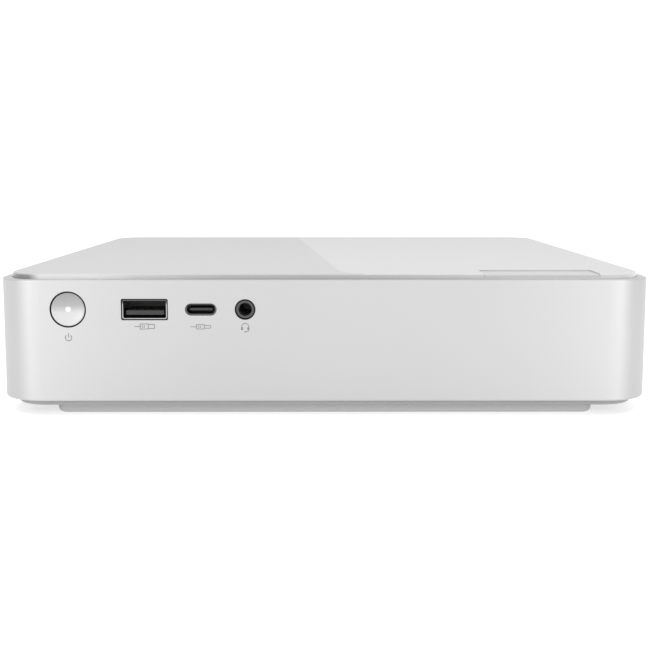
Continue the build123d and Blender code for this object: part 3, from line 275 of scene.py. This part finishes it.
# ---------------------------------------------------------------- finishes
def band_finish():
    """Silver coat with a fine flake, painted lighter at the ends and darker low down; near-black inside
    every hole, as unpainted plastic and painted shade.
    """
    shade = Shade("band_silver", (0.47, 0.47, 0.47), 0.33, 0.5)
    flake = shade.noise(FLAKE_GRAIN, 3.0)
    slow = shade.noise(25.0, 1.0)
    both = shade.plus(shade.times(flake, 0.6), shade.times(slow, 0.4))
    flecks = shade.spread(both, 0.0, 1.0)

    def coated(share):
        """The coat at a share of its usual brightness."""
        return shade.mix(flecks, *(tuple(c * share for c in tone) for tone in (COAT_DARK, COAT_LIGHT)))

    # Painted highlight brightening the ends of the long faces, and painted shade darkening the lower edge.
    along = shade.math("ABSOLUTE", shade.axis("X"))
    ends = shade.math("POWER", shade.math("DIVIDE", along, END_REACH, clamp=True), END_SHARPNESS)
    fade = shade.spread(along, 1.0, CORNER_HIGHLIGHT_SHARE, (END_REACH + MM, END_REACH + END_FADE))
    ends = shade.times(ends, fade)
    low = shade.spread(shade.axis("Z"), 1.0, 0.0, (BAND_LOW, (BAND_LOW + BAND_TOP) / 2))
    highlighted_coat = shade.mix(ends, coated(1.0), coated(END_HIGHLIGHT_SHARE))
    highlighted_low_shaded_coat = shade.mix(ends, coated(LOW_SHADE_SHARE), coated(LOW_SHADE_SHARE * END_HIGHLIGHT_SHARE))
    coat = shade.mix(low, highlighted_coat, highlighted_low_shaded_coat)
    # Depth inside the rounded outline, from how far X and Y are beyond the corner's centre.
    half = (cad_high - cad_low) / 2
    beyond = []
    for name, reach in (("X", half.x), ("Y", half.y)):
        distance = shade.math("SUBTRACT", shade.math("ABSOLUTE", shade.axis(name)), reach - CORNER)
        beyond.append(shade.math("MAXIMUM", distance, 0.0))
    squares = [shade.times(d, d) for d in beyond]
    inside = shade.math("SUBTRACT", CORNER, shade.math("SQRT", shade.plus(*squares)))
    walls = shade.spread(inside, 0.0, 1.0, COAT_DEPTH)
    z = shade.axis("Z")
    below_rim = shade.math("LESS_THAN", z, BAND_TOP - COAT_RIM)
    above_edge = shade.math("GREATER_THAN", z, BAND_LOW + COAT_EDGE)
    # Painted shade in the holes, with the unpainted plastic inside: near-black past the coat.
    unpainted_and_shade = shade.times(walls, shade.times(below_rim, above_edge))
    shade.colour_from(shade.mix(unpainted_and_shade, coat, UNPAINTED_AND_SHADE_TONE))
    shade.wire(shade.spread(unpainted_and_shade, 0.5, 0.0, (0, 1)), shade.bsdf.inputs["Metallic"])
    shade.wire(shade.spread(flake, 0.38, 0.46), shade.bsdf.inputs["Roughness"])
    shade.bump(flake, 0.4, 0.003 * MM)
    return shade.material


def painted_edge_reflection(shade, x):
    """Painted reflection and shade on the panel's polished front edge: dark at the left corner, mid grey
    along its middle.
    """
    ramp = shade.node("ShaderNodeValToRGB")
    shade.wire(shade.spread(x, 0.0, 1.0, (PANEL_LOW.x, PANEL_HIGH.x)), ramp.inputs["Fac"])
    stops = ramp.color_ramp.elements
    for place, _ in EDGE_REFLECTION_TONES[2:]:
        stops.new(place)
    for stop, (place, tone) in zip(stops, EDGE_REFLECTION_TONES):
        stop.position = place
        stop.color = (*grey(tone), 1.0)
    return ramp.outputs["Color"]


def panel_finish():
    """Silver panel: finely ribbed left of a slanting line, smooth right of it, with polished edges; painted
    shade towards the rear, painted reflection on the edges.
    """
    shade = Shade("panel_silver", (0.5, 0.5, 0.5), 0.42, Specular_IOR_Level=0.3)
    x, y = shade.axis("X"), shade.axis("Y")
    # The line leans a little off the depth, and flares to the right close to the front edge.
    lean = shade.times(y, -LINE_LEAN)
    into = shade.math("DIVIDE", shade.math("SUBTRACT", y, PANEL_LOW.y + FLARE_START), FLARE_LENGTH)
    flare = shade.times(shade.math("POWER", math.e, shade.times(into, -1.0)), FLARE_REACH)
    line = shade.plus(shade.plus(lean, LINE_X), flare)
    right = shade.spread(shade.math("SUBTRACT", x, line), 0.0, 1.0, (-LINE_BLUR, LINE_BLUR))
    ribs = shade.times(shade.wave(y, RIB_PITCH), shade.wave(x, RIB_PITCH))
    fine = shade.noise(FLAKE_GRAIN, 3.0)
    left_face = shade.mix(shade.spread(ribs, 0.0, 1.0, (-1, 1)), LEFT_DARK, LEFT_LIGHT)
    right_face = shade.mix(shade.spread(fine, 0.0, 1.0), RIGHT_DARK, RIGHT_LIGHT)
    face = shade.mix(right, left_face, right_face)
    # Painted shade: the panel darkens towards its rear edge.
    painted_shade = shade.spread(y, 0.0, REAR_SHADE_SHARE, (PANEL_LOW.y + REAR_SHADE_START, PANEL_HIGH.y))
    face = shade.mix(painted_shade, face, grey(0.0))
    # Painted reflection and shade on the polished edges, from the tone ramp.
    edge = shade.spread(shade.facing("Z"), 1.0, 0.0, (0.25, 0.9))
    shade.colour_from(shade.mix(edge, face, painted_edge_reflection(shade, x)))
    left_only = shade.math("SUBTRACT", 1.0, right)
    height = shade.plus(shade.times(ribs, left_only), shade.times(fine, 0.3))
    shade.bump(height, 0.3, 0.01 * MM)
    smooth = shade.spread(edge, 0.42, 0.16, (0, 1))
    shade.wire(smooth, shade.bsdf.inputs["Roughness"])
    return shade.material


def badge_finish():
    """Metal tag with a crossed weave on its flat face and a plain folded lip."""
    shade = Shade("badge_silver", (0.45, 0.45, 0.45), 0.4, 0.2)
    x, y = shade.axis("X"), shade.axis("Y")
    weave = shade.times(*(shade.wave(shade.math(how, x, y), WEAVE_PITCH) for how in ("ADD", "SUBTRACT")))
    flat = shade.mix(shade.spread(weave, 0.0, 1.0, (-1, 1)), BADGE_DARK, BADGE_LIGHT)
    lip = shade.spread(shade.facing("Z"), 1.0, 0.0, (0.05, 0.3))
    below_flat = shade.math("LESS_THAN", shade.facing("Z"), 0.9)
    above_lip = shade.math("GREATER_THAN", shade.facing("Z"), 0.4)
    fold = shade.times(below_flat, above_lip)
    shade.colour_from(shade.mix(fold, shade.mix(lip, flat, BADGE_LIP), BADGE_FOLD))
    shade.bump(weave, 0.4, 0.03 * MM)
    return shade.material


def button_finish():
    """Metal turned in fine rings about the button's axis, with painted shade darkening it towards its top.
    """
    shade = Shade("button_metal", (0.60, 0.60, 0.60), 0.32, 0.4)
    x = shade.math("SUBTRACT", shade.axis("X"), BUTTON.x)
    z = shade.math("SUBTRACT", shade.axis("Z"), BUTTON.z)
    radius = shade.math("SQRT", shade.plus(shade.times(x, x), shade.times(z, z)))
    rings = shade.plus(shade.wave(radius, RING_PITCH), shade.noise(3000.0))
    # Painted shade: darker towards the top of the button, in a step and then a slow fade.
    step = shade.spread(z, 0.0, 0.7, BUTTON_SHADE_STEP)
    fade = shade.plus(step, shade.spread(z, 0.0, 0.3, BUTTON_SHADE_FADE))
    fade = shade.plus(fade, shade.spread(rings, -0.03, 0.03, (-1, 2)), clamp=True)
    shade.colour_from(shade.mix(fade, BUTTON_LIT, BUTTON_SHADED))
    shade.bump(rings, 0.15, 0.004 * MM)
    return shade.material


def board_finish(name, colour, trace):
    """Solder mask over a grid of thin tracks."""
    shade = Shade(name, colour, 0.35, Coat_Weight=0.4, Coat_Roughness=0.2)
    x, y = shade.axis("X"), shade.axis("Y")
    wander = shade.times(shade.noise(120.0, 0.0), TRACK_WANDER)
    across = shade.wave(shade.plus(x, wander), TRACK_PITCH_X)
    along = shade.wave(shade.plus(y, wander), TRACK_PITCH_Y)
    tracks = shade.spread(shade.math("MAXIMUM", across, along), 0.0, 1.0, (0.86, 0.97))
    patches = shade.spread(shade.noise(90.0, 1.0), 0.0, 1.0, (0.45, 0.5))
    lit = tuple(min(1.0, c * trace) for c in colour)
    shade.colour_from(shade.mix(shade.times(tracks, patches), colour, lit))
    shade.bump(tracks, 0.3, 0.03 * MM)
    return shade.material


def bright_plastic(name, colour):
    """Clear plastic frosted enough to look white at its end."""
    return plain(name, colour, 0.25, tint=0.02, Transmission_Weight=0.25, IOR=1.49)


def brushed(name, colour, roughness, stretch=ALONG_X):
    """Metal drawn in one direction."""
    return plain(name, colour, roughness, 1.0, METAL_GRAIN, METAL_TINT, METAL_DEPTH, stretch)


def front_nickel(name, low_tone, shaded_tone, height):
    """Drawn nickel with painted shade from a height above the ports' axis, and on faces that look up."""
    shade = grained(name, grey(low_tone), 0.3, 1.0, METAL_GRAIN, METAL_TINT, METAL_DEPTH, ALONG_Y)
    # Painted shade: the upper part and the upward faces of the shell are darkened.
    above = shade.spread(shade.axis("Z"), 0.0, 1.0, (PORT_Z + height, PORT_Z + height + 0.3 * MM))
    upward = shade.spread(shade.facing("Z"), 0.0, 1.0, (0.3, 0.8))
    painted_shade = shade.math("MAXIMUM", above, upward)
    fine = shade.spread(shade.noise(METAL_GRAIN, 4.0, ALONG_Y), 0.0, 1.0)
    bright = shade.mix(fine, grey(low_tone * 0.9), grey(low_tone * 1.1))
    shade.colour_from(shade.mix(painted_shade, bright, grey(shaded_tone)))
    return shade.material


def foot_finish():
    """Matt rubber with a random speckle, and painted light from the floor making it lighter towards the
    bottom.
    """
    shade = grained("foot_grey", grey(0.35), 0.75, grain=1800, depth=0.08 * MM)
    low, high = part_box("front_foot")
    speckle = shade.spread(shade.noise(1800, 4.0), -0.15, 0.15)
    # Painted light from the floor, lighter towards the bottom, mixed with a random speckle.
    floor_light_and_speckle = shade.plus(shade.spread(shade.axis("Z"), 1.0, 0.0, (low.z, high.z)), speckle, clamp=True)
    shade.colour_from(shade.mix(floor_light_and_speckle, FOOT_SHADED, FOOT_FLOOR_LIT))
    return shade.material


def dress(finish, *names):
    """Gives CAD nodes one finish."""
    for name in names:
        nodes[name].data.materials.clear()
        nodes[name].data.materials.append(finish)


def dress_all():
    dress(band_finish(), "side_frame")
    dress(panel_finish(), "top_cover")
    dress(badge_finish(), "top_cover_badge")
    dress(plain("cover_grey", grey(0.335), 0.55, grain=3500, depth=0.05 * MM), "bottom_cover")
    dress(foot_finish(), "front_foot", "rear_foot")
    steel = brushed("steel", (0.52, 0.52, 0.53), 0.38)
    dress(steel, "mid_plate", "rear_plate", "supply_case", "processor_backplate")
    dress(
        plain("screw_steel", (0.30, 0.30, 0.31), 0.35, 1.0, grain=4000),
        "bottom_cover_screws", "top_cover_screws", "inner_screws",
    )
    dress(button_finish(), "power_button")
    dress(
        plain("black_plastic", (0.022, 0.022, 0.023), 0.5, grain=3000),
        "button_carrier", "button_guide", "switch_body", "switch_plunger", "front_usb_a_insert",
        "front_usb_c_insert", "rear_usb_a_inserts", "rear_usb_c_insert", "hdmi_insert",
        "display_socket_insert", "mains_inlet",
    )
    dress(bright_plastic("clear_plastic", (0.88, 0.89, 0.90)), "button_light_pipe", "indicator_lamp")
    dress(
        brushed("port_nickel", (0.34, 0.34, 0.335), 0.3, ALONG_Y),
        "rear_usb_a_shells", "rear_usb_c_shell", "hdmi_shell",
        "display_socket_shell", "ethernet_jack", "mains_inlet_blades",
    )
    dress(front_nickel("wide_port_nickel", 0.36, 0.10, 1.6 * MM), "front_usb_a_shell")
    dress(front_nickel("oval_port_nickel", 0.12, 0.06, 0.6 * MM), "front_usb_c_shell")
    dress(brushed("contact_gold", (0.20, 0.16, 0.09), 0.4, ALONG_Y), "ethernet_contacts")
    dress(brushed("tongue_contacts", (0.055, 0.045, 0.030), 0.4, ALONG_Y), "usb_a_contacts")
    dress(plain("jack_grey", (0.045, 0.045, 0.046), 0.4, grain=3000), "audio_jack")
    dress(board_finish("board_green", (0.012, 0.075, 0.042), 2.2), "motherboard")
    module_green = board_finish("module_green", (0.015, 0.085, 0.05), 2.2)
    dress(module_green, "memory_modules", "storage_and_radio_cards")
    dress(brushed("brass", (0.72, 0.54, 0.25), 0.3), "board_standoffs")
    dress(plain("silicon", (0.10, 0.11, 0.12), 0.2, 0.4), "processor")
    dress(brushed("copper", (0.80, 0.40, 0.24), 0.28), "cold_plate", "heat_pipes")
    dress(brushed("fin_aluminium", (0.72, 0.72, 0.73), 0.35), "fin_stacks")
    dress(
        plain("blower_black", (0.03, 0.03, 0.032), 0.45),
        "left_blower_housing", "right_blower_housing", "left_blower_rotor", "right_blower_rotor",
    )
    dress(brushed("cell_steel", (0.62, 0.62, 0.62), 0.3), "coin_cell_and_holder")
    dress(
        plain("component_black", (0.05, 0.05, 0.055), 0.4, grain=2000),
        "memory_sockets", "card_sockets", "board_components", "headers",
    )
    dress(plain("lead_black", grey(0.03), 0.6), "antennas_and_leads", "leads", "supply_cable")
    dress(plain("supply_brown", (0.30, 0.20, 0.08), 0.5), "supply_board")


# ---------------------------------------------------------------- printed symbols
def stroke(points, width, closed=False):
    """Outline of a line of that width through (x, z) points, as quads with mitred joints."""
    count = len(points)
    edges = []
    for i, (x, z) in enumerate(points):
        before = points[i - 1] if closed or i else points[i]
        after = points[(i + 1) % count] if closed or i < count - 1 else points[i]
        a = Vector((x - before[0], z - before[1]))
        b = Vector((after[0] - x, after[1] - z))
        a = a.normalized() if a.length else b.normalized()
        b = b.normalized() if b.length else a
        tangent = (a + b).normalized()
        reach = width / 2 / max(0.4, tangent.dot(b))
        side = Vector((-tangent.y, tangent.x)) * reach
        edges.append(((x + side.x, z + side.y), (x - side.x, z - side.y)))
    pairs = range(count) if closed else range(count - 1)
    return [(edges[i][0], edges[(i + 1) % count][0], edges[(i + 1) % count][1], edges[i][1]) for i in pairs]


def arc(cx, cz, radius, start, end, steps=24):
    """Points on an arc, in degrees from +X towards +Z."""
    turns = [math.radians(start + (end - start) * i / steps) for i in range(steps + 1)]
    return [(cx + radius * math.cos(t), cz + radius * math.sin(t)) for t in turns]


def bar(x0, z0, x1, z1):
    """A filled rectangle."""
    return [((x0, z0), (x1, z0), (x1, z1), (x0, z1))]


def oblong(cx, cz, width, height):
    """Points round a shape with half-round ends."""
    r = height / 2
    reach = width / 2 - r
    return arc(cx + reach, cz, r, -90, 90, 10) + arc(cx - reach, cz, r, 90, 270, 10)


def power_symbol():
    """An open ring with a bar in its gap."""
    return stroke(arc(0, -0.12, 0.93, 90 + 38, 90 + 322), 0.27) + bar(-0.13, -0.1, 0.13, 1.2)


def square_plug_symbol():
    """A cable, a grip and a square sleeve."""
    sleeve = stroke([(1.2, -0.6), (2.85, -0.6), (2.85, 0.6), (1.2, 0.6)], 0.24)
    grip = stroke([(-1.3, -0.75), (1.05, -0.75), (1.05, 0.75), (-1.3, 0.75)], 0.24, closed=True)
    ribs = bar(-0.75, -0.35, -0.5, 0.35) + bar(-0.25, -0.35, 0.0, 0.35)
    return bar(-3.0, -0.12, -1.42, 0.12) + grip + ribs + sleeve


def oval_plug_symbol():
    """A cable, a grip and a rounded sleeve."""
    sleeve = stroke([(1.1, -0.42)] + arc(2.45, 0, 0.42, -90, 90, 10) + [(1.1, 0.42)], 0.22)
    grip = stroke([(-1.3, -0.65), (0.95, -0.65), (0.95, 0.65), (-1.3, 0.65)], 0.22, closed=True)
    ribs = bar(-0.75, -0.3, -0.5, 0.3) + bar(-0.25, -0.3, 0.0, 0.3)
    return bar(-3.0, -0.12, -1.41, 0.12) + grip + ribs + sleeve


def headset_symbol():
    """A head band, two cups and a microphone on a boom."""
    band = stroke(arc(0, 0.2, 1.02, 0, 180), 0.24)
    cups = bar(-1.25, -0.8, -0.6, 0.12) + bar(0.6, -0.8, 1.25, 0.12)
    boom = stroke([(1.0, -0.75), (0.9, -1.12), (0.2, -1.3)], 0.2)
    return band + cups + boom + bar(-0.25, -1.45, 0.3, -1.12)


def print_symbol(name, faces, x, z, finish):
    """A flat printed symbol a hair proud of the front. Its faces are in millimetres about (x, z)."""
    mesh = bpy.data.meshes.new(name)
    build = bmesh.new()
    for face in faces:
        near = [build.verts.new((x + u * MM, FRONT - PRINT_DEPTH, z + v * MM)) for u, v in face]
        far = [build.verts.new((x + u * MM, FRONT, z + v * MM)) for u, v in face]
        build.faces.new(near)
        for i in range(len(face)):
            j = (i + 1) % len(face)
            build.faces.new((near[i], far[i], far[j], near[j]))
    bmesh.ops.remove_doubles(build, verts=build.verts, dist=1e-7)
    bmesh.ops.recalc_face_normals(build, faces=build.faces)
    build.to_mesh(mesh)
    build.free()
    made = bpy.data.objects.new(name, mesh)
    bpy.context.scene.collection.objects.link(made)
    mesh.materials.append(finish)
    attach(made, "case")


def front_symbols():
    """Prints the four symbols, each centred a drop below the piece that it belongs to."""
    finish = plain("print_grey", (0.19, 0.19, 0.195), 0.6, grain=5000, tint=0.1)
    for name, faces, node, drop in (
        ("symbol_power", power_symbol(), "power_button", 8.2 * MM),
        ("symbol_square_plug", square_plug_symbol(), "front_usb_a_shell", 5.0 * MM),
        ("symbol_oval_plug", oval_plug_symbol(), "front_usb_c_shell", 5.1 * MM),
        ("symbol_headset", headset_symbol(), "audio_jack", 5.3 * MM),
    ):
        print_symbol(name, faces, middle(node).x, PORT_Z - drop, finish)


# ---------------------------------------------------------------- floor, light and camera
def studio_floor():
    """A wide pale sheet under the feet, with a little light of its own like a light table."""
    mesh = bpy.data.meshes.new("studio_floor")
    build = bmesh.new()
    bmesh.ops.create_grid(build, x_segments=8, y_segments=8, size=4.0)
    build.to_mesh(mesh)
    build.free()
    floor = bpy.data.objects.new("studio_floor", mesh)
    bpy.context.scene.collection.objects.link(floor)
    table = grained("floor_white", grey(0.60), 0.6, tint=0.005, grain=300, Emission_Strength=FLOOR_GLOW)
    table.set("Emission Color", (1.0, 1.0, 1.0, 1.0))
    mesh.materials.append(table.material)


def soft_box(name, place, target, size, power):
    """A rectangular area light aimed at a point."""
    lamp = bpy.data.lights.new(name, "AREA")
    lamp.shape = "RECTANGLE"
    lamp.size, lamp.size_y = size
    lamp.energy = power
    made = bpy.data.objects.new(name, lamp)
    made.location = place
    made.rotation_euler = (Vector(target) - Vector(place)).to_track_quat("-Z", "Y").to_euler()
    bpy.context.scene.collection.objects.link(made)


def studio_light():
    world = bpy.data.worlds.new("studio")
    world.use_nodes = True
    sky = world.node_tree.nodes["Background"]
    sky.inputs["Color"].default_value = (1.0, 1.0, 1.0, 1.0)
    sky.inputs["Strength"].default_value = WORLD_STRENGTH
    bpy.context.scene.world = world
    centre = (0.0, 0.0, TOP / 2)
    soft_box("overhead", (0.0, 0.1, 1.4), centre, (1.6, 1.6), OVERHEAD_POWER)
    soft_box("front_fill", (0.0, FRONT - 1.15, 0.35), centre, (2.4, 0.7), FILL_POWER)
    for side, name in ((-1, "left_strip"), (1, "right_strip")):
        place = (side * STRIP_SIDE, FRONT - STRIP_AHEAD, 0.30)
        soft_box(name, place, centre, (STRIP_WIDTH, 0.9), STRIP_POWER)


def studio_camera():
    camera = bpy.data.cameras.new("camera")
    camera.lens, camera.sensor_width = LENS, 36.0
    made = bpy.data.objects.new("camera", camera)
    camera.shift_y = CAMERA_SHIFT
    made.location = (CAMERA_X, FRONT - CAMERA_BACK, TOP + CAMERA_RISE)
    made.rotation_euler = (math.radians(90.0 - CAMERA_DIP), 0.0, math.radians(-CAMERA_TURN))
    camera.clip_start = 0.01
    bpy.context.scene.collection.objects.link(made)
    bpy.context.scene.camera = made


dress_all()
front_symbols()
studio_floor()
studio_light()
studio_camera()
bpy.context.scene.view_settings.view_transform = "Standard"
